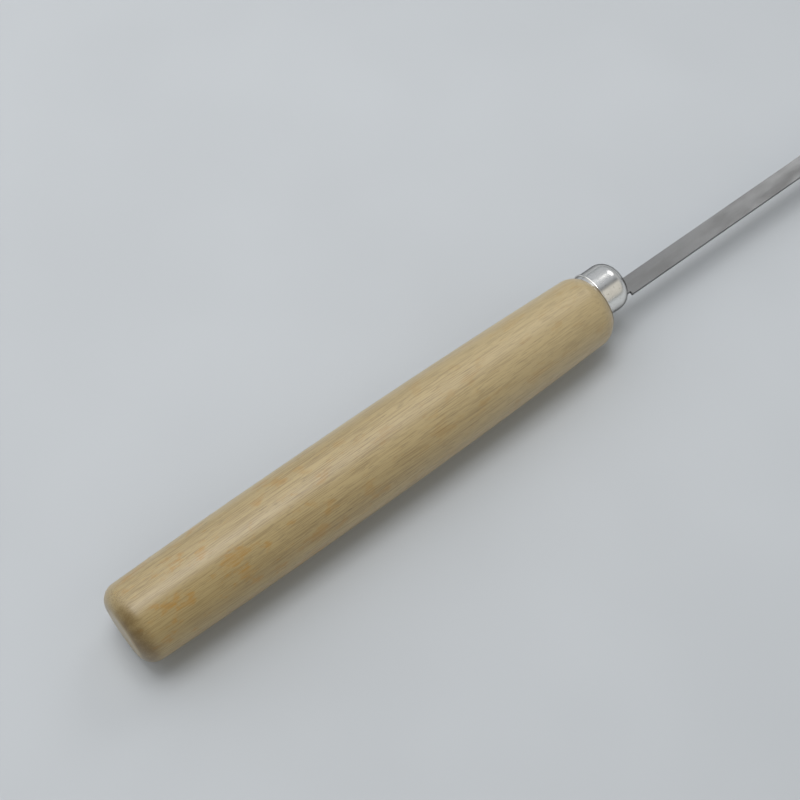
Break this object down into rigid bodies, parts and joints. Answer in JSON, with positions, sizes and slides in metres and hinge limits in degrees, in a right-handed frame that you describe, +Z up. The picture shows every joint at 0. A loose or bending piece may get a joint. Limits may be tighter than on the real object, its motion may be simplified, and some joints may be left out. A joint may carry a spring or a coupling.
{
  "type": "loop trimming tool",
  "caption": "Pottery trimming tool: turned wooden handle, plated ferrule and a flat steel strip bent into a sharpened loop.",
  "frame": {"origin": "bottom centre of the bounding box, on the surface the tool lies on", "axes": "+X along the tool from the butt towards the loop, +Z up, +Y to the left seen from the butt"},
  "size_m": [0.226, 0.019, 0.019],
  "materials": {
    "handle_wood": "satin clear lacquer over pale straight-grained hardwood",
    "ferrule_metal": "bright plating",
    "blade_steel": "satin, ground along its length",
    "rivet_steel": "satin",
    "glue": "hard clear amber glue"
  },
  "bodies": {
    "root": {"handle": "handle_wood", "ferrule": "ferrule_metal", "loop_blade": "blade_steel", "rivet_front": "rivet_steel", "rivet_rear": "rivet_steel", "tang_glue": "glue"}
  },
  "joints": []
}
